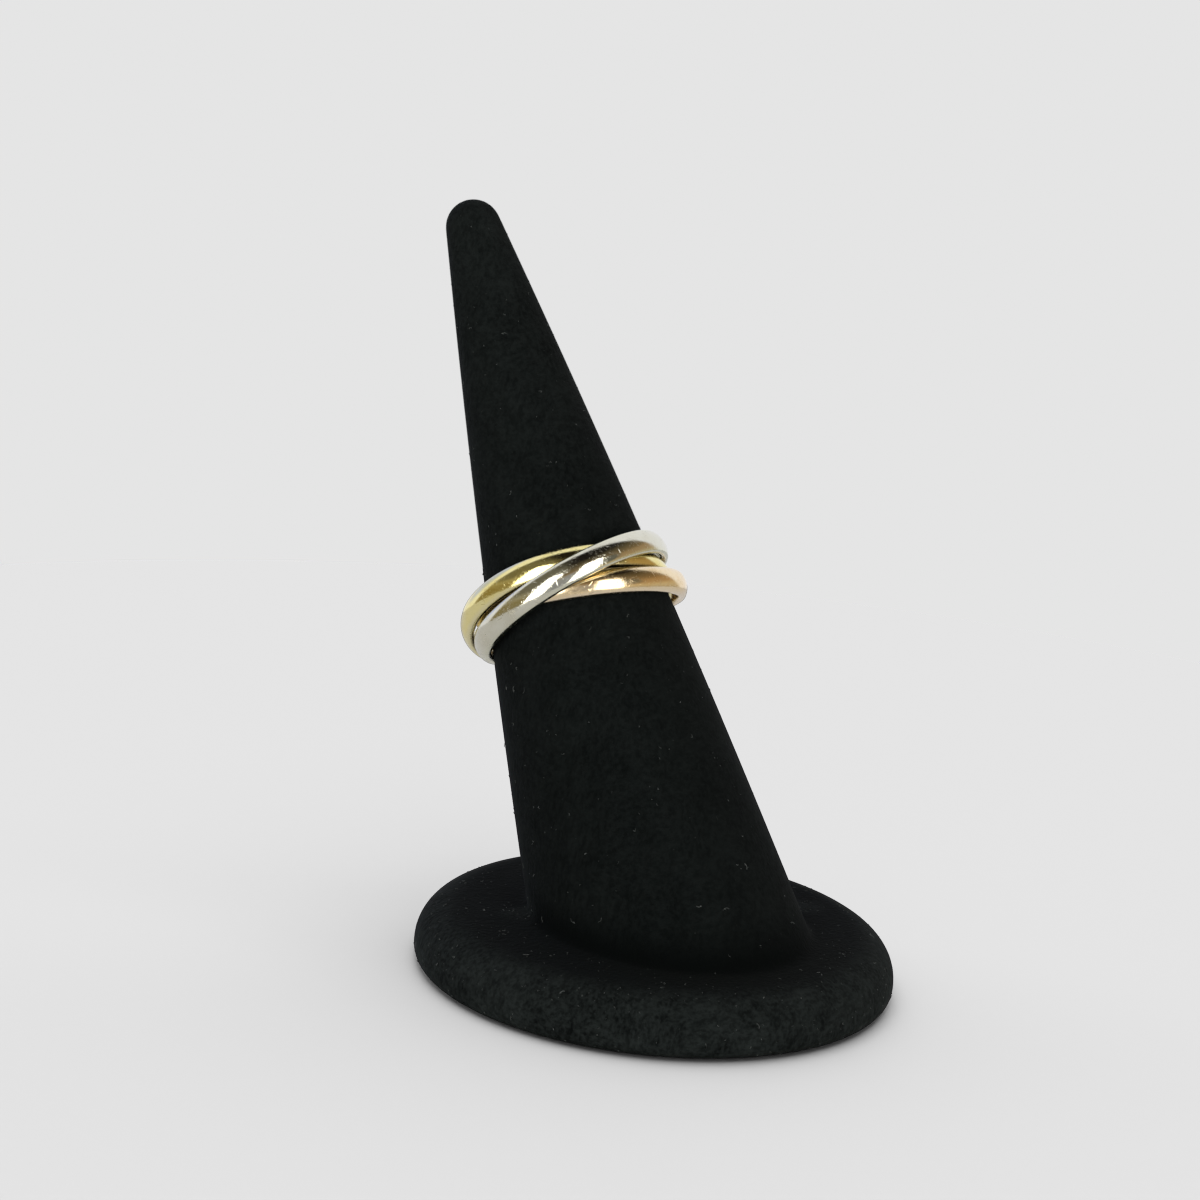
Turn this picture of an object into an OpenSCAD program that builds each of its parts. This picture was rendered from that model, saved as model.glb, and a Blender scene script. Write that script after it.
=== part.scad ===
// Triple band ring on a leaning finger stand, in millimetres.
// Three equal bands, each linked through the other two, lie nested round the finger.
// The origin is the middle of the stand's underside, with +Z up, and the finger
// leans back towards +Y. The stand's velvet pile, 0.3 to 0.5 thick, isn't drawn.

/* [Bands] */
// Diameter of each band, measured between the middles of its walls
band_d = 19.2; // [19.2:0.1:20.2]
// Width of each band, along the finger
band_w = 2.45; // [1.8:0.05:2.5]
// Rise of the domed outer face above the middles of the rounded edges
band_outer_dome = 0.65; // [0.5:0.05:0.7]
// Rise of the gently bowed inner face, the other way
band_inner_dome = 0.45; // [0.45:0.05:0.6]
// Radius of the rounded edges
band_edge_r = 0.4; // [0.3:0.05:0.4]

/* [Finger] */
// Length of the finger along its own axis, from the disc to the tip
finger_len = 70.5; // [55:0.5:80]
// Diameter of the finger at its foot
finger_foot_d = 23.8; // [20:0.1:28]
// Radius of the ball that ends the finger
finger_tip_r = 2.15; // [1.5:0.05:4]
// How far the finger's side bows out beyond a straight taper, at mid-length
finger_bow = 0.45; // [0:0.05:1]
// Angle by which the finger leans back from upright
finger_lean = 28; // [0:1:30]
// Place of the finger's foot on the disc, towards the back
finger_foot_y = -0.75; // [-4:0.05:4]

/* [Disc] */
// Diameter of the disc that the finger stands on
disc_d = 44.4; // [40:0.1:60]
// Thickness of the disc
disc_t = 5.2; // [4:0.1:8]
// Radius of the disc's upper edge; what is left of the thickness rounds the lower edge
disc_top_edge_r = 3.8; // [1:0.1:3.8]

/* [Hidden] */
$fn = 180;

YELLOW_GOLD = "#d8b862";
WHITE_GOLD = "#cbc9c3";
ROSE_GOLD = "#dba07f";
VELVET = "#1a1c1b";

// How each band lies: its axis tilts off the finger's axis, towards an angle counted
// from the right (0) through the back (90), its centre is shifted off that axis to the
// right and to the back, and the station is how far up the finger the centre is
TILT = 0;
TOWARDS = 1;
RIGHT = 2;
BACK = 3;
STATION = 4;
//             tilt  towards  right   back  station
YELLOW_LIE = [ 20.6,    43,  -0.2,    1.05,  30.95 ];
WHITE_LIE  = [ 17.0,   106,  -0.6,   -0.15,  31.55 ];
ROSE_LIE   = [  7.6,   -22,   1.1,    0.5,   31.25 ];

disc_low_edge_r = disc_t - disc_top_edge_r;
edge_off = band_w / 2 - band_edge_r; // middle of a rounded edge, off the band's mid-plane
tip_slope = atan((finger_foot_d / 2 - finger_tip_r + 4 * finger_bow) / finger_len);
side_len = finger_len - finger_tip_r * (1 - sin(tip_slope)); // foot to where the ball begins
side_steps = 16;
sunk_steps = 4; // as far as the leaning finger's side runs down past its axis's foot

// Radius of an arc that rises by dome and runs smoothly into both rounded edges
function face_r(dome) =
    (pow(edge_off, 2) + pow(dome, 2) - pow(band_edge_r, 2)) / (2 * (dome - band_edge_r));

// A point well outside the band, on the line where that arc meets the rounded edge
function seam(dome) =
    [face_r(dome) - dome, edge_off] / (face_r(dome) - band_edge_r) * band_w + [0, edge_off];

// Radius of the finger at a share of the side's length, 0 at the foot and 1 at the ball
function finger_r(share) =
    let (foot = finger_foot_d / 2, ball = finger_tip_r * cos(tip_slope))
    foot + (ball - foot) * share + 4 * finger_bow * share * (1 - share);

// Section of a band: a domed outer face and a bowed inner face between rounded edges
module band_section() {
    outer = seam(band_outer_dome);
    inner = seam(band_inner_dome);
    intersection() {
        translate([band_outer_dome - face_r(band_outer_dome), 0])
            circle(r = face_r(band_outer_dome));
        translate([face_r(band_inner_dome) - band_inner_dome, 0])
            circle(r = face_r(band_inner_dome));
        polygon([
            [0, edge_off], outer, [outer.x, -outer.y],
            [0, -edge_off], [-inner.x, -inner.y], [-inner.x, inner.y]
        ]);
    }
    for (side = [-1, 1])
        translate([0, side * edge_off])
            circle(r = band_edge_r);
}

// Carries what follows from the finger's own frame, with Z along its axis, to its place
module on_finger() {
    translate([0, finger_foot_y, disc_t])
        rotate([-finger_lean, 0, 0])
            children();
}

module band(lie) {
    on_finger()
        translate([lie[RIGHT], lie[BACK], lie[STATION]])
            rotate([0, lie[TILT], lie[TOWARDS]])
                rotate_extrude()
                    translate([band_d / 2, 0])
                        band_section();
}

module band_yellow() {
    color(YELLOW_GOLD) band(YELLOW_LIE);
}

module band_white() {
    color(WHITE_GOLD) band(WHITE_LIE);
}

module band_rose() {
    color(ROSE_GOLD) band(ROSE_LIE);
}

// Half outline of the finger: its bowed side, and the ball at the tip
module finger_section() {
    first = -sunk_steps / side_steps;
    ball_z = finger_len - finger_tip_r;
    polygon([
        [0, first * side_len],
        for (i = [-sunk_steps:side_steps])
            [finger_r(i / side_steps), i / side_steps * side_len],
        [0, side_len]
    ]);
    intersection() {
        translate([0, ball_z]) circle(r = finger_tip_r);
        translate([0, ball_z]) square(finger_tip_r);
    }
}

// The finger, cut off flat where it stands on the disc
module stand_finger() {
    color(VELVET)
        difference() {
            on_finger() rotate_extrude() finger_section();
            translate([-disc_d, -disc_d, disc_t - disc_d])
                cube([2 * disc_d, 2 * disc_d, disc_d]);
        }
}

// The disc, with a wide soft upper edge and a small lower one
module stand_base() {
    color(VELVET)
        rotate_extrude() {
            square([disc_d / 2 - disc_top_edge_r, disc_t]);
            square([disc_d / 2 - disc_low_edge_r, disc_low_edge_r]);
            intersection() {
                translate([disc_d / 2 - disc_top_edge_r, disc_low_edge_r])
                    circle(r = disc_top_edge_r);
                translate([disc_d / 2 - disc_top_edge_r, disc_low_edge_r])
                    square(disc_top_edge_r);
            }
            intersection() {
                translate([disc_d / 2 - disc_low_edge_r, disc_low_edge_r])
                    circle(r = disc_low_edge_r);
                translate([disc_d / 2 - disc_low_edge_r, 0])
                    square(disc_low_edge_r);
            }
        }
}

band_yellow();
band_white();
band_rose();
stand_finger();
stand_base();
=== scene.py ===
# Triple band ring on a leaning finger stand, dressed for a studio picture.
import math
import random

import bpy
from mathutils import Matrix, Vector
from mathutils.bvhtree import BVHTree


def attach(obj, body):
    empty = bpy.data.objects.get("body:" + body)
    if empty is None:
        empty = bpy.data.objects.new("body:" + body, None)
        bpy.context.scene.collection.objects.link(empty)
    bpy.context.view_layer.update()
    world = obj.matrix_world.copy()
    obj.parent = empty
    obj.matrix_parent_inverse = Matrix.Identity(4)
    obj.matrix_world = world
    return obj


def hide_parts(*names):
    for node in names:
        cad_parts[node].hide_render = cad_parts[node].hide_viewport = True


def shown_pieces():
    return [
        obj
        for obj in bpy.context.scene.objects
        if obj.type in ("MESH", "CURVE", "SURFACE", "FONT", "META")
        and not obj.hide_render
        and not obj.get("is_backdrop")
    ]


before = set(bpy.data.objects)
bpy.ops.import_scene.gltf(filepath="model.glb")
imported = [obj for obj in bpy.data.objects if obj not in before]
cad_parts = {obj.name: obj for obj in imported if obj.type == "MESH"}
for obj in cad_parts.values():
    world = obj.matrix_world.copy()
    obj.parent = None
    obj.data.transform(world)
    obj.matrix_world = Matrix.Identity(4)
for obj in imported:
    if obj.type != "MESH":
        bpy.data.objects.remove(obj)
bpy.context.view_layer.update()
mm = 0.001
scene = bpy.context.scene
print("frame loaded:", ", ".join(sorted(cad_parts)))


# Small helpers for working as by hand

def letGo():
    if bpy.context.object and bpy.context.object.mode != "OBJECT":
        bpy.ops.object.mode_set(mode="OBJECT")
    bpy.ops.object.select_all(action="DESELECT")


def take(piece):
    letGo()
    piece.select_set(True)
    bpy.context.view_layer.objects.active = piece


def settle(piece):  # puts the piece's place into its mesh
    take(piece)
    bpy.ops.object.transform_apply(location=True, rotation=True, scale=True)


def applyAll(piece):
    take(piece)
    for name in [modifier.name for modifier in piece.modifiers]:
        bpy.ops.object.modifier_apply(modifier=name)


def joinAll(pieces):  # into the first of them
    letGo()
    for piece in pieces:
        piece.select_set(True)
    bpy.context.view_layer.objects.active = pieces[0]
    bpy.ops.object.join()
    return bpy.context.object


def spin(centre, axis, angle, steps):
    bpy.ops.mesh.spin(steps=steps, angle=angle, center=centre, axis=axis, use_auto_merge=False)


def weld():  # points of the mesh that lie in the same place
    bpy.ops.mesh.select_all(action="SELECT")
    bpy.ops.mesh.remove_doubles(threshold=0.001 * mm)


def smoothStep(value, low, high):
    share = min(max((value - low) / (high - low), 0.0), 1.0)
    return share * share * (3 - 2 * share)


def markPoints(piece, name, measure):  # a value at each point of the mesh, which its material reads
    marks = piece.data.attributes.new(name, "FLOAT", "POINT")
    for point, mark in zip(piece.data.vertices, marks.data):
        mark.value = measure(point.co)


def printSize(piece):
    print(piece.name, "triangles:", sum(len(face.vertices) - 2 for face in piece.data.polygons))


# The stand's sizes, which the bands' places also need

standSize = {
    "fingerLength": 70.5 * mm,
    "footDiameter": 23.8 * mm,
    "tipRadius": 2.15 * mm,
    "bow": 0.45 * mm,  # how far the side bulges beyond a straight taper
    "lean": math.radians(28),
    "footY": -0.75 * mm,
    "discDiameter": 44.4 * mm,
    "discThickness": 5.2 * mm,
    "topEdge": 3.8 * mm,
    "lowEdge": 1.4 * mm,
    "fingerPile": 0.5 * mm,  # how far the velvet stands out from the moulded core
    "discPile": 0.3 * mm,
}

atFoot = Matrix.Translation((0, standSize["footY"], standSize["discThickness"]))
onFinger = atFoot @ Matrix.Rotation(-standSize["lean"], 4, "X")
fromFinger = onFinger.inverted()


# Bands

bandShape = {
    "diameter": 19.2 * mm,  # between the middles of the wall
    "width": 2.45 * mm,
    "outerDome": 0.65 * mm,
    "innerDome": 0.45 * mm,
    "edgeRadius": 0.4 * mm,
    "turnSteps": 320,
    "outerSteps": 28,
    "innerSteps": 12,
    "edgeSteps": 14,
}

bandLie = {  # on the finger: degrees for the tilt and the way it tilts, then millimetres
    "band_yellow": {"tilt": 20.6, "towards": 43, "right": -0.2, "back": 1.05, "station": 30.95},
    "band_white": {"tilt": 17.0, "towards": 106, "right": -0.6, "back": -0.15, "station": 31.55},
    "band_rose": {"tilt": 7.6, "towards": -22, "right": 1.1, "back": 0.5, "station": 31.25},
}


def arcRadius(dome):  # of a face that runs smoothly into both rounded edges
    edge = bandShape["edgeRadius"]
    offset = bandShape["width"] / 2 - edge
    return (offset ** 2 + dome ** 2 - edge ** 2) / (2 * (dome - edge))


def layBand(name):  # the matrix that carries a band from the origin to its place
    lie = bandLie[name]
    place = Matrix.Translation((lie["right"] * mm, lie["back"] * mm, lie["station"] * mm))
    turn = Matrix.Rotation(math.radians(lie["towards"]), 4, "Z")
    return onFinger @ place @ turn @ Matrix.Rotation(math.radians(lie["tilt"]), 4, "Y")


def makeBand(name, node):
    middle = bandShape["diameter"] / 2
    offset = bandShape["width"] / 2 - bandShape["edgeRadius"]
    outer = arcRadius(bandShape["outerDome"])
    inner = arcRadius(bandShape["innerDome"])
    outerCentre = middle + bandShape["outerDome"] - outer
    innerCentre = middle + inner - bandShape["innerDome"]
    outerSlope = math.atan2(offset, middle - outerCentre)
    innerSlope = math.atan2(offset, innerCentre - middle)
    edgeTurn = math.pi - outerSlope - innerSlope
    start = (outerCentre + outer * math.cos(outerSlope), 0, outer * math.sin(outerSlope))
    letGo()
    bpy.ops.mesh.primitive_plane_add(size=0.1 * mm, location=start)
    band = bpy.context.object
    band.name = name
    bpy.ops.object.mode_set(mode="EDIT")
    bpy.ops.mesh.select_all(action="SELECT")
    bpy.ops.mesh.merge(type="CENTER")  # one point, which the spins draw out round the section
    across = (0, -1, 0)
    spin((outerCentre, 0, 0), across, 2 * outerSlope, bandShape["outerSteps"])
    spin((middle, 0, -offset), across, edgeTurn, bandShape["edgeSteps"])
    spin((innerCentre, 0, 0), across, 2 * innerSlope, bandShape["innerSteps"])
    spin((middle, 0, offset), across, edgeTurn, bandShape["edgeSteps"])
    weld()
    spin((0, 0, 0), (0, 0, 1), 2 * math.pi, bandShape["turnSteps"])
    weld()
    bpy.ops.mesh.normals_make_consistent(inside=False)
    bpy.ops.object.mode_set(mode="OBJECT")
    settle(band)
    places = band.data.attributes.new("bandPlace", "FLOAT_VECTOR", "POINT")
    for point, place in zip(band.data.vertices, places.data):
        place.vector = point.co / mm  # in the band's own frame, so that the wear follows the band
    band.matrix_world = layBand(node)
    settle(band)
    bpy.ops.object.shade_smooth()
    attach(band, "root")
    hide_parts(node)
    return band


# Velvet stand

standMesh = {
    "fingerSides": 96,
    "sideSteps": 20,
    "sunkSteps": 4,  # how far the leaning side runs on below the foot, inside the disc
    "ballSteps": 10,
    "ballFrom": 8,  # degrees up from the ball's middle
    "ballStep": 8.5,
    "tipFlat": 0.05 * mm,
    "discSides": 160,
    "topEdgeSteps": 10,
    "lowEdgeSteps": 6,
    "voxel": 0.34 * mm,
    "softness": 0.5,
    "softRounds": 3,  # which fill the crease at the foot
}


def sideSlope():  # of the finger's side where it meets the ball
    foot = standSize["footDiameter"] / 2
    return math.atan((foot - standSize["tipRadius"] + 4 * standSize["bow"]) / standSize["fingerLength"])


def sideRadius(share):  # of the finger's core, from the foot at 0 to where the ball begins at 1
    foot = standSize["footDiameter"] / 2
    ball = standSize["tipRadius"] * math.cos(sideSlope())
    return foot + (ball - foot) * share + 4 * standSize["bow"] * share * (1 - share)


def sideLength():
    return standSize["fingerLength"] - standSize["tipRadius"] * (1 - math.sin(sideSlope()))


def extrudeRing(upFrom, height, widen):  # carries the selected ring up and resizes it there
    bpy.ops.mesh.extrude_region_move(TRANSFORM_OT_translate={"value": (0, 0, height - upFrom)})
    bpy.ops.transform.resize(value=(widen, widen, 1), center_override=(0, 0, height))


def makeFinger():
    proud = standSize["fingerPile"]
    steps = standMesh["sideSteps"]
    side = sideLength()
    rings = []  # the height and the radius of each, from the foot up
    for step in range(-standMesh["sunkSteps"], steps):
        rings.append((step * side / steps, sideRadius(step / steps) + proud))
    ballMiddle = standSize["fingerLength"] - standSize["tipRadius"]
    ball = standSize["tipRadius"] + proud
    for step in range(standMesh["ballSteps"]):
        angle = math.radians(standMesh["ballFrom"] + step * standMesh["ballStep"])
        rings.append((ballMiddle + ball * math.sin(angle), ball * math.cos(angle)))
    rings.append((ballMiddle + ball, standMesh["tipFlat"]))
    lowest, widest = rings[0]
    letGo()
    bpy.ops.mesh.primitive_circle_add(
        vertices=standMesh["fingerSides"], radius=widest, fill_type="NGON", location=(0, 0, lowest)
    )
    finger = bpy.context.object
    bpy.ops.object.mode_set(mode="EDIT")
    bpy.ops.mesh.select_all(action="SELECT")
    for (low, wide), (high, narrow) in zip(rings, rings[1:]):
        extrudeRing(low, high, narrow / wide)
    bpy.ops.object.mode_set(mode="OBJECT")
    settle(finger)
    finger.matrix_world = onFinger
    settle(finger)
    return finger


def bevelRim(piece, height, offset, segments):  # rounds the edges that lie at that height
    take(piece)
    bpy.ops.object.mode_set(mode="EDIT")
    bpy.ops.mesh.select_all(action="DESELECT")
    bpy.ops.mesh.select_mode(type="EDGE")
    bpy.ops.object.mode_set(mode="OBJECT")
    heights = [point.co.z for point in piece.data.vertices]
    for edge in piece.data.edges:
        edge.select = all(abs(heights[end] - height) < 0.01 * mm for end in edge.vertices)
    bpy.ops.object.mode_set(mode="EDIT")
    bpy.ops.mesh.bevel(offset=offset, segments=segments, profile=0.5, affect="EDGES")
    bpy.ops.object.mode_set(mode="OBJECT")


def makeDisc():
    proud = standSize["discPile"]
    thickness = standSize["discThickness"] + proud
    letGo()
    bpy.ops.mesh.primitive_cylinder_add(
        vertices=standMesh["discSides"],
        radius=standSize["discDiameter"] / 2 + proud,
        depth=thickness,
        location=(0, 0, thickness / 2),
    )
    disc = bpy.context.object
    settle(disc)
    bevelRim(disc, thickness, standSize["topEdge"], standMesh["topEdgeSteps"])
    bevelRim(disc, 0, standSize["lowEdge"], standMesh["lowEdgeSteps"])
    return disc


pressed = {  # how the bands press the pile in
    "flat": 0.85,  # share of a band's half width that the pile follows
    "fade": 1.2,  # how much farther it takes to stand up again, in half widths
    "rise": 1.2 * mm,
    "clear": 0.03 * mm,
}


def boreRadius(height):  # how near a band's inner face comes to its axis, off its mid-plane
    inner = arcRadius(bandShape["innerDome"])
    innerCentre = bandShape["diameter"] / 2 + inner - bandShape["innerDome"]
    return innerCentre - math.sqrt(inner ** 2 - height ** 2)


def pressUnderBands(skin):
    half = bandShape["width"] / 2
    flat = half * pressed["flat"]
    moved = 0
    for name in bandLie:
        fromBand = layBand(name)
        toBand = fromBand.inverted()
        for point in skin.data.vertices:
            own = toBand @ point.co
            beyond = max(0.0, abs(own.z) - flat) / (pressed["fade"] * half)
            if beyond > 1:
                continue
            reach = own.to_2d().length
            bore = boreRadius(min(abs(own.z), flat))
            limit = bore - pressed["clear"] + beyond ** 2 * pressed["rise"]
            if reach > limit:
                own.xy = own.xy * (limit / reach)
                point.co = fromBand @ own
                moved += 1
    print("velvet points pressed under the bands:", moved)


pile = {  # how pale the velvet is painted, from 0, deep and dark, to 1, pale: partly worn pile, partly painted light and shade
    # darker low on the finger is painted shade where the disc hides the table's light; paler towards the
    # tip, partly rubbed, partly painted light
    "fingerLow": 0.20,
    "fingerTip": 0.35,
    "fingerLate": 2.2,  # how late the paleness sets in on the way up to the tip
    # the disc's top is painted darker and its rim paler: painted shade and painted light from how the room
    # lights them
    "discTop": 0.04,
    "discFrom": 0.2 * mm,  # off the finger's side, where its pile begins to give way to the disc's
    "discTo": 1.5 * mm,
    "rim": 0.54,
    "rimFrom": 17.8 * mm,
    "rimTo": 21.3 * mm,
    "crease": 0.0,  # painted shade: what is left of the paleness down in the crease between the finger and the disc
    "creaseReach": 4.2 * mm,
    "dust": 0.45,  # how much paler the two dusty spots at the finger's foot are
    "dustReach": 3.0 * mm,
}

dustySpots = [Vector((-10.4, 7.6, 5.6)) * mm, Vector((14.4, -5.8, 5.6)) * mm]


def nearDust(place):
    return max(1 - smoothStep((place - spot).length, 0, pile["dustReach"]) for spot in dustySpots)


def placeOnStand(place):  # share of the finger's length, how far onto the disc, how deep in the crease
    own = fromFinger @ place
    share = min(max(own.z / standSize["fingerLength"], 0.0), 1.0)
    outside = max(0.0, own.to_2d().length - sideRadius(share) - standSize["fingerPile"])
    above = max(0.0, place.z - standSize["discThickness"] - standSize["discPile"])
    # deep is the nearness to the crease, where the velvet is painted darker as shade
    deep = 1 - smoothStep(math.hypot(outside, above), 0, pile["creaseReach"])
    return share, smoothStep(outside, pile["discFrom"], pile["discTo"]), deep


def onDisc(place):
    return placeOnStand(place)[1]


# painted light and shade ride on the wear here: a darker crease, low finger and disc top, a paler rim and
# tip
def pileWearAndShading(place):
    share, discShare, deep = placeOnStand(place)
    fingerWearAndShading = pile["fingerLow"] + (pile["fingerTip"] - pile["fingerLow"]) * share ** pile["fingerLate"]
    rim = smoothStep(place.to_2d().length, pile["rimFrom"], pile["rimTo"])
    discWearAndShading = pile["discTop"] + (pile["rim"] - pile["discTop"]) * rim
    wearWithShading = fingerWearAndShading + (discWearAndShading - fingerWearAndShading) * discShare
    return wearWithShading * (1 - deep * (1 - pile["crease"])) + pile["dust"] * nearDust(place)


def makeVelvet():
    finger = makeFinger()
    skin = joinAll([makeDisc(), finger])
    skin.name = "velvet_skin"
    remesh = skin.modifiers.new("OneSkin", "REMESH")
    remesh.mode = "VOXEL"
    remesh.voxel_size = standMesh["voxel"]
    smooth = skin.modifiers.new("SoftFoot", "SMOOTH")
    smooth.factor = standMesh["softness"]
    smooth.iterations = standMesh["softRounds"]
    applyAll(skin)
    for point in skin.data.vertices:
        point.co.z = max(point.co.z, 0.0)
    # the velvet's paleness: pile wear together with painted light and shade
    markPoints(skin, "pileWearAndShading", pileWearAndShading)
    markPoints(skin, "pileCrumble", onDisc)
    pressUnderBands(skin)
    take(skin)
    bpy.ops.object.shade_smooth()
    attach(skin, "root")
    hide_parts("stand_finger", "stand_base")
    return skin


# Lint caught in the pile

lintLook = {
    "count": 1500,
    "seed": 11,
    "thickness": 0.05 * mm,
    "sides": 4,
    "bendSteps": 3,
    "bends": [  # the arcs of each kind of hair: degrees, then millimetres for the radius
        [(20, 0.5)],
        [(50, 0.25), (-30, 0.3)],
        [(-80, 0.16), (90, 0.14)],
        [(200, 0.06), (-150, 0.05)],
        [(-240, 0.05)],
        [(160, 0.04), (-200, 0.05)],
    ],
    "smallest": 0.25,
    "largest": 0.95,
    "tilt": 0.2,  # how unevenly the hairs lie, in radians
    "lift": 0.02 * mm,
    "lowest": 0.3 * mm,
    "onFinger": 0.3,  # how likely a spot is on the finger, beside one on the disc
    "inCrease": 0.15,
    "onDust": 5,
    "dark": (0.014, 0.017, 0.016),
    "pale": (0.125, 0.135, 0.130),
    "paleSpan": (0.4, 0.66),
    "variety": 600,
    "dull": 0.9,
    "shine": 0.1,
}


def makeHair(bends):  # a single hair of lint, bent in the plane that it lies in
    letGo()
    bpy.ops.mesh.primitive_circle_add(
        vertices=lintLook["sides"],
        radius=lintLook["thickness"] / 2,
        fill_type="NGON",
        rotation=(0, math.radians(90), 0),
    )
    hair = bpy.context.object
    settle(hair)
    bpy.ops.object.mode_set(mode="EDIT")
    bpy.ops.mesh.select_all(action="SELECT")
    end, heading = Vector((0, 0, 0)), 0.0
    for degrees, radius in bends:
        angle = math.radians(degrees)
        side = Vector((-math.sin(heading), math.cos(heading), 0)) * math.copysign(radius * mm, angle)
        centre = end + side
        spin(centre, (0, 0, 1), angle, lintLook["bendSteps"])
        end = centre - Matrix.Rotation(angle, 3, "Z") @ side
        heading += angle
    weld()
    bpy.ops.mesh.normals_make_consistent(inside=False)
    bpy.ops.object.mode_set(mode="OBJECT")
    return hair


def lintChance(spot, toBands):  # more of it lies on the disc, and none under the bands or the disc
    for toBand in toBands:
        own = toBand @ spot.center
        if abs(own.z) < bandShape["width"] and own.to_2d().length < bandShape["diameter"]:
            return 0.0
    if spot.center.z < lintLook["lowest"]:
        return 0.0
    discShare, deep = placeOnStand(spot.center)[1:]
    share = lintLook["onFinger"] + (1 - lintLook["onFinger"]) * discShare
    share *= 1 - deep * (1 - lintLook["inCrease"])
    return spot.area * (share + lintLook["onDust"] * nearDust(spot.center))


def scatterLint(skin):
    dice = random.Random(lintLook["seed"])
    kinds = [makeHair(bends) for bends in lintLook["bends"]]
    toBands = [layBand(name).inverted() for name in bandLie]
    spots = list(skin.data.polygons)
    chances = [lintChance(spot, toBands) for spot in spots]
    hairs = []
    for spot in dice.choices(spots, weights=chances, k=lintLook["count"]):
        kind = dice.choice(kinds)
        hair = bpy.data.objects.new("hair", kind.data.copy())
        scene.collection.objects.link(hair)
        turn = Matrix.Rotation(dice.uniform(0, 2 * math.pi), 4, "Z")
        tilt = Matrix.Rotation(dice.gauss(0, lintLook["tilt"]), 4, "X")
        size = Matrix.Scale(dice.uniform(lintLook["smallest"], lintLook["largest"]), 4)
        place = Matrix.Translation(spot.center + spot.normal * lintLook["lift"])
        flat = spot.normal.to_track_quat("Z", "Y").to_matrix().to_4x4()
        hair.matrix_world = place @ flat @ (turn @ tilt) @ size
        hairs.append(hair)
    for kind in kinds:
        bpy.data.objects.remove(kind)
    lint = joinAll(hairs)
    lint.name = "velvet_lint"
    settle(lint)
    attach(lint, "root")
    return lint


# Shared effects

def newGroup(name, strengths, outs):  # takes a place and named strengths, and gives named values
    group = bpy.data.node_groups.new(name, "ShaderNodeTree")
    group.interface.new_socket("Place", in_out="INPUT", socket_type="NodeSocketVector")
    for label in strengths:
        socket = group.interface.new_socket(label, in_out="INPUT", socket_type="NodeSocketFloat")
        socket.default_value = 0.5
    for label in outs:
        group.interface.new_socket(label, in_out="OUTPUT", socket_type="NodeSocketFloat")
    return group, group.nodes.new("NodeGroupInput"), group.nodes.new("NodeGroupOutput")


def addNode(tree, kind, **settings):
    node = tree.nodes.new("ShaderNode" + kind)
    for key, value in settings.items():
        setattr(node, key, value)
    return node


def feed(tree, socket, value):  # links what another node gives, or sets a plain value
    if isinstance(value, bpy.types.NodeSocket):
        tree.links.new(value, socket)
    elif socket.type == "RGBA":
        socket.default_value = (*value, 1)
    else:
        socket.default_value = value


def addMath(tree, operation, *values, clamp=False):
    node = addNode(tree, "Math", operation=operation, use_clamp=clamp)
    for socket, value in zip(node.inputs, values):
        feed(tree, socket, value)
    return node.outputs[0]


def addChain(tree, operation, first, *others):  # the same operation with one value after another
    for value in others:
        first = addMath(tree, operation, first, value)
    return first


def addWeighted(tree, *parts):  # the sum of the values, each times its weight
    return addChain(tree, "ADD", *[addMath(tree, "MULTIPLY", value, weight) for value, weight in parts])


def addSpan(tree, value, low, high, toLow=0.0, toHigh=1.0, linear=False):  # a smooth step by default
    node = addNode(tree, "MapRange", interpolation_type="LINEAR" if linear else "SMOOTHSTEP")
    feed(tree, node.inputs["Value"], value)
    for label, number in (("From Min", low), ("From Max", high), ("To Min", toLow), ("To Max", toHigh)):
        node.inputs[label].default_value = number
    return node.outputs["Result"]


def addNoise(tree, place, scale, detail=2.0, roughness=0.5):
    node = addNode(tree, "TexNoise")
    tree.links.new(place, node.inputs["Vector"])
    node.inputs["Scale"].default_value = scale
    node.inputs["Detail"].default_value = detail
    node.inputs["Roughness"].default_value = roughness
    return node.outputs["Fac"]


def addStretch(tree, place, scale, turn=(0, 0, 0)):
    node = addNode(tree, "Mapping")
    tree.links.new(place, node.inputs["Vector"])
    node.inputs["Scale"].default_value = scale
    node.inputs["Rotation"].default_value = turn
    return node.outputs["Vector"]


def addRidge(tree, place, scale, width, detail=0.0):  # thin winding lines
    noise = addNoise(tree, place, scale, detail)
    return addSpan(tree, addMath(tree, "ABSOLUTE", addMath(tree, "SUBTRACT", noise, 0.5)), width, 0.0)


def addCells(tree, place, scale):  # scattered cells, and the dice thrown for each of them
    cells = addNode(tree, "TexVoronoi")
    tree.links.new(place, cells.inputs["Vector"])
    cells.inputs["Scale"].default_value = scale
    dice = addNode(tree, "SeparateColor")
    tree.links.new(cells.outputs["Color"], dice.inputs["Color"])
    return cells.outputs, dice.outputs


def addNicks(tree, place, scale, share, size):  # small round dents, in a share of the cells
    cells, dice = addCells(tree, place, scale)
    chosen = addMath(tree, "LESS_THAN", dice["Red"], share)
    reach = addMath(tree, "MULTIPLY_ADD", dice["Green"], size, size / 3)
    away = addMath(tree, "DIVIDE", cells["Distance"], reach)
    near = addMath(tree, "SUBTRACT", 1.0, away, clamp=True)
    return addChain(tree, "MULTIPLY", near, near, chosen)


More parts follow.
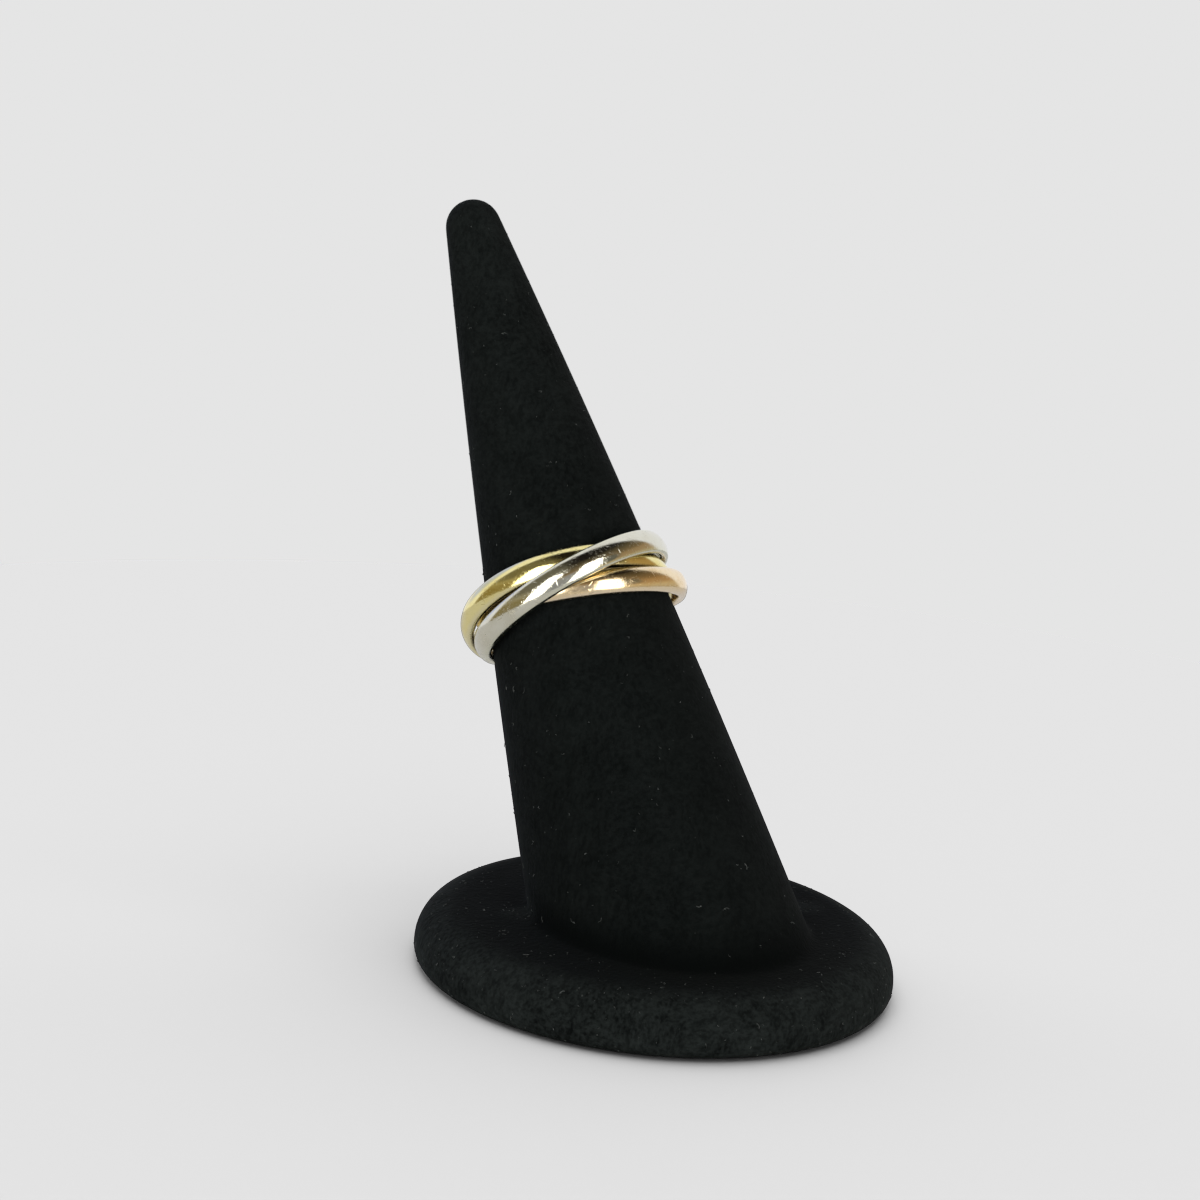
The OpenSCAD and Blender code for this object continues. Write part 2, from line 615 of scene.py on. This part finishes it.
def addScratches(tree, place, scale, share, width):  # short straight lines, each in a direction of its own
    cells, dice = addCells(tree, place, scale)
    chosen = addMath(tree, "LESS_THAN", dice["Red"], share)
    offset = addNode(tree, "VectorMath", operation="SUBTRACT")
    tree.links.new(place, offset.inputs[0])
    tree.links.new(cells["Position"], offset.inputs[1])
    way = addNode(tree, "VectorMath", operation="SUBTRACT")
    tree.links.new(cells["Color"], way.inputs[0])
    way.inputs[1].default_value = (0.5, 0.5, 0.5)
    unit = addNode(tree, "VectorMath", operation="NORMALIZE")
    tree.links.new(way.outputs[0], unit.inputs[0])
    aside = addNode(tree, "VectorMath", operation="DOT_PRODUCT")
    tree.links.new(offset.outputs[0], aside.inputs[0])
    tree.links.new(unit.outputs[0], aside.inputs[1])
    line = addSpan(tree, addMath(tree, "ABSOLUTE", aside.outputs["Value"]), width, 0.0)
    ends = addSpan(tree, cells["Distance"], 0.55, 0.2)  # fading out before the cell's rim
    return addChain(tree, "MULTIPLY", line, ends, chosen)


wearPattern = {  # scales per millimetre
    "hairlineStretch": (0.10, 0.10, 7),
    "hairlines": (1.6, 0.010, 3),  # scale, width and detail
    "hairlinePatches": (0.9, 2),
    "hairlineSpan": (0.45, 0.62),
    "longScratches": (0.42, 0.5, 0.045),  # scale, share of the cells that have one, and width
    "longStrength": 0.35,
    "shortScratches": (1.25, 0.45, 0.04),
    "shortStrength": 0.5,
    "nicks": (1.5, 0.5, 0.19),  # scale, share and size
    "smallNicks": (3.3, 0.5, 0.30),
    "smallStrength": 0.6,
    "smudges": (0.55, 4, 0.6),  # scale, detail and roughness
    "smudgeSpan": (0.35, 0.7),
    "grain": (4.0, 2, 0.6),
    "hazeSpan": (0.48, 0.68),
    "cleanSpeckles": 0.6,  # how many of the speckles are left where the metal isn't smudged
    "waves": (0.45, 1),
    "waveHeight": 1.0,
    "hairlineHeight": -0.06,
    "scratchHeight": -1.8,
    "speckleHeight": -0.9,
}


def makeFineWear(pattern):  # hairlines round a band, scratches, nicks, smudges, speckled haze and soft waves
    group, ins, outs = newGroup(
        "fineWear",
        ("Hairlines", "Scratches", "Speckles", "Waviness"),
        ("Marks", "Smudge", "Haze", "Height"),
    )
    place = ins.outputs["Place"]
    winding = addRidge(group, addStretch(group, place, pattern["hairlineStretch"]), *pattern["hairlines"])
    patchy = addSpan(group, addNoise(group, place, *pattern["hairlinePatches"]), *pattern["hairlineSpan"])
    hairline = addChain(group, "MULTIPLY", winding, patchy, ins.outputs["Hairlines"])
    long = addScratches(group, place, *pattern["longScratches"])
    short = addScratches(group, place, *pattern["shortScratches"])
    nicks = addNicks(group, place, *pattern["nicks"])
    small = addNicks(group, place, *pattern["smallNicks"])
    deepest = addChain(
        group,
        "MAXIMUM",
        addMath(group, "MULTIPLY", long, pattern["longStrength"]),
        addMath(group, "MULTIPLY", short, pattern["shortStrength"]),
        nicks,
        addMath(group, "MULTIPLY", small, pattern["smallStrength"]),
    )
    scratch = addMath(group, "MULTIPLY", deepest, ins.outputs["Scratches"])
    smudge = addSpan(group, addNoise(group, place, *pattern["smudges"]), *pattern["smudgeSpan"])
    patches = addSpan(group, smudge, 0, 1, pattern["cleanSpeckles"], 1)
    patches = addMath(group, "MULTIPLY", patches, ins.outputs["Speckles"])
    grain = addNoise(group, place, *pattern["grain"])
    haze = addMath(group, "MULTIPLY", addSpan(group, grain, *pattern["hazeSpan"]), patches)
    speckle = addMath(group, "MULTIPLY", addMath(group, "SUBTRACT", grain, 0.5), patches)
    wave = addMath(group, "MULTIPLY", addNoise(group, place, *pattern["waves"]), ins.outputs["Waviness"])
    height = addWeighted(
        group,
        (wave, pattern["waveHeight"]),
        (hairline, pattern["hairlineHeight"]),
        (scratch, pattern["scratchHeight"]),
        (speckle, pattern["speckleHeight"]),
    )
    group.links.new(addMath(group, "MAXIMUM", hairline, scratch), outs.inputs["Marks"])
    group.links.new(smudge, outs.inputs["Smudge"])
    group.links.new(haze, outs.inputs["Haze"])
    group.links.new(height, outs.inputs["Height"])
    return group


napPattern = {  # noises: scale per metre, detail and roughness
    "grain": (3000, 2, 0.6),
    "down": (2300, 2, 0.6),
    "downStretch": ((1, 1, 0.35), (standSize["lean"], 0, 0)),
    "across": (2100, 2, 0.6),
    "acrossStretch": ((0.4, 0.8, 1), (0.3, 0.2, 0.7)),
    "patches": (210, 2, 0.6),  # where the strokes run across instead of down
    "patchSpan": (0.47, 0.55),
    "grainShare": 0.4,
    "strokeShare": 0.6,
    "fineSpan": (0.34, 0.66),
    "fineShare": 0.7,
    "cloudy": (420, 3, 0.6),
    "cloudySpan": (0.3, 0.7),
    "cloudyShare": 0.3,
    "brushed": (130, 2),
    "brushedSpan": (0.35, 0.65, 0.86, 1.14),
}


def makeVelvetNap(pattern):  # the grain of the pile, with strokes that the hand has left in it
    group, ins, outs = newGroup("velvetNap", ("WearAndShading", "Contrast"), ("Shade", "Height"))
    place = ins.outputs["Place"]
    grain = addNoise(group, place, *pattern["grain"])
    down = addNoise(group, addStretch(group, place, *pattern["downStretch"]), *pattern["down"])
    across = addNoise(group, addStretch(group, place, *pattern["acrossStretch"]), *pattern["across"])
    patches = addSpan(group, addNoise(group, place, *pattern["patches"]), *pattern["patchSpan"])
    turned = addMath(group, "MULTIPLY", addMath(group, "SUBTRACT", across, down), patches)
    strokes = addMath(group, "ADD", turned, down)
    mixed = addWeighted(group, (grain, pattern["grainShare"]), (strokes, pattern["strokeShare"]))
    fine = addSpan(group, mixed, *pattern["fineSpan"])
    cloudy = addSpan(group, addNoise(group, place, *pattern["cloudy"]), *pattern["cloudySpan"])
    uneven = addWeighted(group, (fine, pattern["fineShare"]), (cloudy, pattern["cloudyShare"]))
    uneven = addMath(group, "MULTIPLY", addMath(group, "SUBTRACT", uneven, 0.5), ins.outputs["Contrast"])
    brushed = addSpan(group, addNoise(group, place, *pattern["brushed"]), *pattern["brushedSpan"])
    shade = addMath(group, "ADD", uneven, brushed)
    # the wear input also carries painted light and shade
    shade = addMath(group, "MULTIPLY", shade, ins.outputs["WearAndShading"], clamp=True)
    group.links.new(shade, outs.inputs["Shade"])
    group.links.new(mixed, outs.inputs["Height"])
    return group


fineWear = makeFineWear(wearPattern)
velvetNap = makeVelvetNap(napPattern)
print("shared effects built")


# Materials

def startMaterial(name):
    material = bpy.data.materials.new(name)
    material.use_nodes = True
    tree = material.node_tree
    return material, tree, tree.nodes["Principled BSDF"]


def useGroup(tree, group, values):
    node = addNode(tree, "Group", node_tree=group)
    for label, value in values.items():
        feed(tree, node.inputs[label], value)
    return node


def addMark(tree, name):  # what markPoints put into the mesh
    return addNode(tree, "Attribute", attribute_name=name).outputs["Fac"]


def mixColours(tree, factor, first, second):
    node = addNode(tree, "Mix", data_type="RGBA")
    tree.links.new(factor, node.inputs["Factor"])
    feed(tree, node.inputs[6], first)
    feed(tree, node.inputs[7], second)
    return node.outputs[2]


def addBump(tree, shader, height, depth):
    bump = addNode(tree, "Bump")
    bump.inputs["Distance"].default_value = depth
    tree.links.new(height, bump.inputs["Height"])
    tree.links.new(bump.outputs["Normal"], shader.inputs["Normal"])


bandLook = {
    "band_yellow": {
        "metal": (0.96, 0.85, 0.40),
        "handled": (0.93, 0.79, 0.31),  # deeper, where it is smudged
        "edge": (0.88, 0.80, 0.48),  # paler towards the edges: partly rubbed, partly painted reflection of the whitening metal shows at grazing angles
        "dull": 0.07,
        "duller": 0.15,  # where it is smudged
        "speckles": 0.85,
    },
    "band_white": {
        "metal": (0.79, 0.77, 0.64),
        "handled": (0.74, 0.71, 0.57),
        "edge": (0.78, 0.77, 0.60),
        "dull": 0.06,
        "duller": 0.15,
        "speckles": 1.0,
    },
    "band_rose": {
        "metal": (0.98, 0.81, 0.53),
        "handled": (0.94, 0.72, 0.41),
        "edge": (0.95, 0.81, 0.60),
        "dull": 0.10,
        "duller": 0.22,
        "speckles": 0.5,
    },
}

wear = {
    "hairlines": 1.0,
    "scratches": 1.0,
    "waviness": 0.5,
    "depth": 0.010 * mm,
    "markDull": 0.08,
    "hazeDull": 0.2,
    "edgeSpan": (0.6, 0.95),  # shares of the band's half width over which the paler edge tone comes in, part rubbing, part painted reflection
    "edgeShare": 0.85,
    "grimeAndShade": (0.10, 0.065, 0.022),  # dirt and painted shade that darken a band where it lies close to another
    "grimeDull": 0.2,
    "grimeAndShadeFull": 0.15 * mm,
    "grimeAndShadeReach": {"gold_yellow": 0.42 * mm, "gold_white": 0.38 * mm, "gold_rose": 0.65 * mm},
}


def makeSurface(piece):  # to measure distances to
    corners = [point.co for point in piece.data.vertices]
    return BVHTree.FromPolygons(corners, [face.vertices for face in piece.data.polygons])


def grimeAndShadeBeside(others, reach):  # how much dirt and painted shade a place gets, by the nearest of the other bands
    def measure(place):
        gaps = [surface.find_nearest(place, reach)[3] for surface in others]
        gap = min((gap for gap in gaps if gap is not None), default=reach)
        return 1 - smoothStep(gap, wear["grimeAndShadeFull"], reach)
    return measure


def markGrimeAndShade(bands):
    surfaces = {band.name: makeSurface(band) for band in bands}
    for band in bands:
        others = [surface for name, surface in surfaces.items() if name != band.name]
        markPoints(band, "grimeAndShade", grimeAndShadeBeside(others, wear["grimeAndShadeReach"][band.name]))


def makePolishedGold(name, look):
    material, tree, shader = startMaterial(name)
    place = addNode(tree, "Attribute", attribute_name="bandPlace").outputs["Vector"]
    marks = useGroup(tree, fineWear, {
        "Place": place,
        "Hairlines": wear["hairlines"],
        "Scratches": wear["scratches"],
        "Speckles": look["speckles"],
        "Waviness": wear["waviness"],
    })
    split = addNode(tree, "SeparateXYZ")
    tree.links.new(place, split.inputs[0])
    half = bandShape["width"] / mm / 2
    edgeFrom, edgeTo = (half * share for share in wear["edgeSpan"])
    offMiddle = addMath(tree, "ABSOLUTE", split.outputs["Z"])
    edge = addSpan(tree, offMiddle, edgeFrom, edgeTo, 0, wear["edgeShare"])
    grimeAndShade = addMark(tree, "grimeAndShade")
    colour = mixColours(tree, marks.outputs["Smudge"], look["metal"], look["handled"])
    # painted reflection with some rubbing: each band turns paler towards its edges, as metal whitens at
    # grazing angles
    colour = mixColours(tree, edge, colour, look["edge"])
    # painted shade, with some dirt, darkens each band where it lies close to another
    colour = mixColours(tree, grimeAndShade, colour, wear["grimeAndShade"])
    tree.links.new(colour, shader.inputs["Base Color"])
    dull = addWeighted(
        tree,
        (marks.outputs["Smudge"], look["duller"] - look["dull"]),
        (marks.outputs["Marks"], wear["markDull"]),
        (marks.outputs["Haze"], wear["hazeDull"]),
        (grimeAndShade, wear["grimeDull"]),
    )
    tree.links.new(addMath(tree, "ADD", dull, look["dull"]), shader.inputs["Roughness"])
    addBump(tree, shader, marks.outputs["Height"], wear["depth"])
    shader.inputs["Metallic"].default_value = 1
    return material


velvetLook = {
    # the dark end, which also stands for painted shade in the crease and low on the finger
    "deep": (0.0010, 0.0016, 0.0015),
    # the pale end, for rubbed pile and for painted light on the rim and tip
    "rubbedAndLit": (0.0170, 0.0208, 0.0200),
    "contrast": 1.3,
    "crumblyContrast": 1.6,  # on the disc
    "shine": 0.06,
    "sheen": 0.010,
    "sheenSpread": 0.45,
    "sheenTint": (0.85, 1.0, 0.97),
    "depth": 0.15 * mm,
}


def makeVelvetCloth(name):
    material, tree, shader = startMaterial(name)
    crumbly = addMark(tree, "pileCrumble")
    nap = useGroup(tree, velvetNap, {
        "Place": addNode(tree, "TexCoord").outputs["Object"],
        "WearAndShading": addMark(tree, "pileWearAndShading"),
        "Contrast": addSpan(tree, crumbly, 0, 1, velvetLook["contrast"], velvetLook["crumblyContrast"]),
    })
    # painted light and shade: the velvet runs from dark to pale by its marked wear and shading
    colour = mixColours(tree, nap.outputs["Shade"], velvetLook["deep"], velvetLook["rubbedAndLit"])
    tree.links.new(colour, shader.inputs["Base Color"])
    addBump(tree, shader, nap.outputs["Height"], velvetLook["depth"])
    shader.inputs["Roughness"].default_value = 1
    shader.inputs["Specular IOR Level"].default_value = velvetLook["shine"]
    shader.inputs["Sheen Weight"].default_value = velvetLook["sheen"]
    shader.inputs["Sheen Roughness"].default_value = velvetLook["sheenSpread"]
    shader.inputs["Sheen Tint"].default_value = (*velvetLook["sheenTint"], 1)
    return material


def makeLintFibre(name):  # grey fibres, some paler than others
    material, tree, shader = startMaterial(name)
    place = addNode(tree, "TexCoord").outputs["Object"]
    pale = addSpan(tree, addNoise(tree, place, lintLook["variety"], 1), *lintLook["paleSpan"])
    colour = mixColours(tree, pale, lintLook["dark"], lintLook["pale"])
    tree.links.new(colour, shader.inputs["Base Color"])
    shader.inputs["Roughness"].default_value = lintLook["dull"]
    shader.inputs["Specular IOR Level"].default_value = lintLook["shine"]
    return material


bands = []
for node, look in bandLook.items():
    colourName = node.split("_")[1]
    band = makeBand("gold_" + colourName, node)
    band.data.materials.append(makePolishedGold(colourName + "Gold", look))
    bands.append(band)
    printSize(band)
markGrimeAndShade(bands)

skin = makeVelvet()
skin.data.materials.append(makeVelvetCloth("velvetCloth"))
printSize(skin)

lint = scatterLint(skin)
lint.data.materials.append(makeLintFibre("lintFibre"))
printSize(lint)


# Camera, floor and light

cameraPlace = {
    "distance": 300 * mm,
    "azimuth": math.radians(-48.6),
    "elevation": math.radians(13.6),
    "roll": math.radians(5.4),
    "lens": 98.5,
    "right": -8.15 * mm,  # where the view's middle lies from the origin
    "up": 35.3 * mm,
    "nearest": 10 * mm,
    "farthest": 20,
}

studio = {
    "tableRadius": 160 * mm,
    "tableSides": 96,
    "tableGrey": 0.72,
    "tableDull": 0.9,
    "background": 0.783,
    "softboxDistance": 550 * mm,
    "softboxWidth": 330 * mm,
    "softboxLow": -110 * mm,
    "softboxTop": 500 * mm,
    "softboxes": {"softboxLeft": (-76, 4.8), "softboxRight": (-13, 4.3)},  # degrees round, and strength
    "softboxEdge": 0.16,  # share of its width over which a softbox fades out
    "overheadHeight": 900 * mm,
    "overheadSize": 900 * mm,
    "overheadStrength": 1.62,
}

roomParts = {  # degrees round, sine of the height, then how near the part begins and is complete
    "left": (-120, 0, 0.28, 0.46),
    "shade": (12, 0.29, 0.962, 0.985),  # a dark patch beside the right softbox
    "front": (143, 0.28, -0.72, -0.86),  # right opposite the sweep, between the softboxes
    "cool": (173, 0.25, 0.90, 0.98),  # a corner of the sweep that stands in cooler light
    "sweep": (143, 0.28, 0.35, 0.49),  # pale paper behind the stand, seen from the camera
}

partTones = {
    "shade": (0.13, 0.125, 0.10),
    "front": (0.30, 0.30, 0.31),
    "cool": (0.52, 0.60, 1.05),
    "sweep": (0.85, 0.86, 0.91),
}

sideTones = {  # the room on each side, by the sine of the height: warm low down, nearly black overhead
    "left": [
        (-0.30, (0.26, 0.22, 0.12)),
        (0.05, (0.25, 0.20, 0.09)),
        (0.20, (0.35, 0.31, 0.20)),
        (0.36, (0.17, 0.153, 0.102)),
        (0.80, (0.155, 0.143, 0.104)),
        (0.86, (0.105, 0.096, 0.070)),
        (0.92, (0.055, 0.05, 0.037)),
    ],
    "right": [
        (-0.30, (0.28, 0.23, 0.14)),
        (-0.12, (0.48, 0.42, 0.31)),
        (0.0, (0.50, 0.41, 0.26)),
        (0.14, (0.38, 0.265, 0.145)),
        (0.33, (0.35, 0.24, 0.125)),
        (0.45, (0.20, 0.14, 0.07)),
        (0.70, (0.105, 0.082, 0.046)),
        (0.83, (0.052, 0.042, 0.025)),
        (0.88, (0.013, 0.011, 0.009)),
    ],
}


def addCamera():
    az, el, roll = (cameraPlace[key] for key in ("azimuth", "elevation", "roll"))
    back = Vector((math.sin(az) * math.cos(el), -math.cos(az) * math.cos(el), math.sin(el)))
    right = Vector((math.cos(az), math.sin(az), 0))
    up = back.cross(right)
    target = right * cameraPlace["right"] + Vector((0, 0, cameraPlace["up"]))
    eye = target + back * cameraPlace["distance"]
    across = right * math.cos(roll) + up * math.sin(roll)
    upward = up * math.cos(roll) - right * math.sin(roll)
    bpy.ops.object.camera_add()
    camera = bpy.context.object
    camera.matrix_world = Matrix.Translation(eye) @ Matrix((across, upward, back)).transposed().to_4x4()
    camera.data.lens = cameraPlace["lens"]
    camera.data.clip_start = cameraPlace["nearest"]
    camera.data.clip_end = cameraPlace["farthest"]
    scene.camera = camera


def addTable():  # pale, and drawn only where the stand shades it, so that it blends into the background
    letGo()
    bpy.ops.mesh.primitive_circle_add(
        vertices=studio["tableSides"], radius=studio["tableRadius"], fill_type="NGON", location=(0, 0, 0)
    )
    table = bpy.context.object
    table.name = "table"
    table.is_shadow_catcher = True
    material, _, shader = startMaterial("tablePaper")
    grey = studio["tableGrey"]
    shader.inputs["Base Color"].default_value = (grey, grey, grey, 1)
    shader.inputs["Roughness"].default_value = studio["tableDull"]
    table.data.materials.append(material)
    table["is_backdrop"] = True


def addPart(tree, direction, degrees, rise, begins, complete):  # how far a direction lies in that part
    angle = math.radians(degrees)
    flat = math.sqrt(1 - rise ** 2)
    facing = addNode(tree, "VectorMath", operation="DOT_PRODUCT")
    tree.links.new(direction, facing.inputs[0])
    facing.inputs[1].default_value = (math.sin(angle) * flat, -math.cos(angle) * flat, rise)
    return addSpan(tree, facing.outputs["Value"], begins, complete)


def addSideTones(tree, height, tones):
    side = addNode(tree, "ValToRGB")
    tree.links.new(addSpan(tree, height, -1, 1, linear=True), side.inputs["Fac"])
    stops = side.color_ramp.elements
    while len(stops) < len(tones):
        stops.new(0.5)
    for stop, (rise, tone) in zip(stops, tones):
        stop.position = (rise + 1) / 2
        stop.color = (*tone, 1)
    return side.outputs["Color"]


def addRoom():  # what the bands mirror, and a flat pale view for the camera
    world = bpy.data.worlds.new("studio")
    scene.world = world
    world.use_nodes = True
    tree = world.node_tree
    direction = addNode(tree, "TexCoord").outputs["Generated"]
    split = addNode(tree, "SeparateXYZ")
    tree.links.new(direction, split.inputs[0])
    height = split.outputs["Z"]
    part = {name: addPart(tree, direction, *where) for name, where in roomParts.items()}
    right = addSideTones(tree, height, sideTones["right"])
    left = addSideTones(tree, height, sideTones["left"])
    room = mixColours(tree, part["left"], right, left)
    room = mixColours(tree, part["shade"], room, partTones["shade"])
    room = mixColours(tree, part["front"], room, partTones["front"])
    paper = mixColours(tree, part["cool"], partTones["sweep"], partTones["cool"])
    room = mixColours(tree, part["sweep"], room, paper)
    seen = addNode(tree, "LightPath").outputs["Is Camera Ray"]
    pale = studio["background"]
    room = mixColours(tree, seen, room, (pale, pale, pale))
    tree.links.new(room, tree.nodes["Background"].inputs["Color"])


def addLamp(name, place, turn, size, strength):
    bpy.ops.object.light_add(type="AREA", location=place, rotation=turn)
    lamp = bpy.context.object
    lamp.name = name
    lamp.data.shape = "RECTANGLE"
    lamp.data.size, lamp.data.size_y = size
    lamp.data.energy = strength * math.pi * size[0] * size[1]  # watts for that radiance
    lamp.visible_camera = False
    return lamp


def fadeEdges(lamp):  # a softbox is brightest in the middle of its cloth
    lamp.data.use_nodes = True
    tree = lamp.data.node_tree
    split = addNode(tree, "SeparateXYZ")
    tree.links.new(addNode(tree, "NewGeometry").outputs["Parametric"], split.inputs[0])
    sides = []
    for way in ("X", "Y"):
        other = addMath(tree, "SUBTRACT", 1.0, split.outputs[way])
        inward = addMath(tree, "MINIMUM", split.outputs[way], other)
        sides.append(addSpan(tree, inward, 0, studio["softboxEdge"]))
    tree.links.new(addMath(tree, "MULTIPLY", *sides), tree.nodes["Emission"].inputs["Strength"])


def addLights():
    height = studio["softboxTop"] - studio["softboxLow"]
    lit = bpy.data.collections.new("litBySoftboxes")
    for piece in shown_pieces():
        lit.objects.link(piece)
    for name, (azimuth, strength) in studio["softboxes"].items():
        angle = math.radians(azimuth)
        away = Vector((math.sin(angle), -math.cos(angle), 0)) * studio["softboxDistance"]
        place = away + Vector((0, 0, studio["softboxLow"] + height / 2))
        turn = (math.radians(90), 0, angle)
        lamp = addLamp(name, place, turn, (studio["softboxWidth"], height), strength)
        fadeEdges(lamp)
        lamp.light_linking.receiver_collection = lit  # so that no long shadow falls on the table
    above = (0, 0, studio["overheadHeight"])
    wide = studio["overheadSize"]
    overhead = addLamp("overhead", above, (0, 0, 0), (wide, wide), studio["overheadStrength"])
    overhead.visible_glossy = False
    under = bpy.data.collections.new("litByOverhead")
    under.objects.link(bpy.data.objects["table"])
    overhead.light_linking.receiver_collection = under  # the stand takes its light from the pale table


letGo()
addCamera()
addTable()
addRoom()
addLights()
scene.view_settings.view_transform = "Standard"
print("studio set")
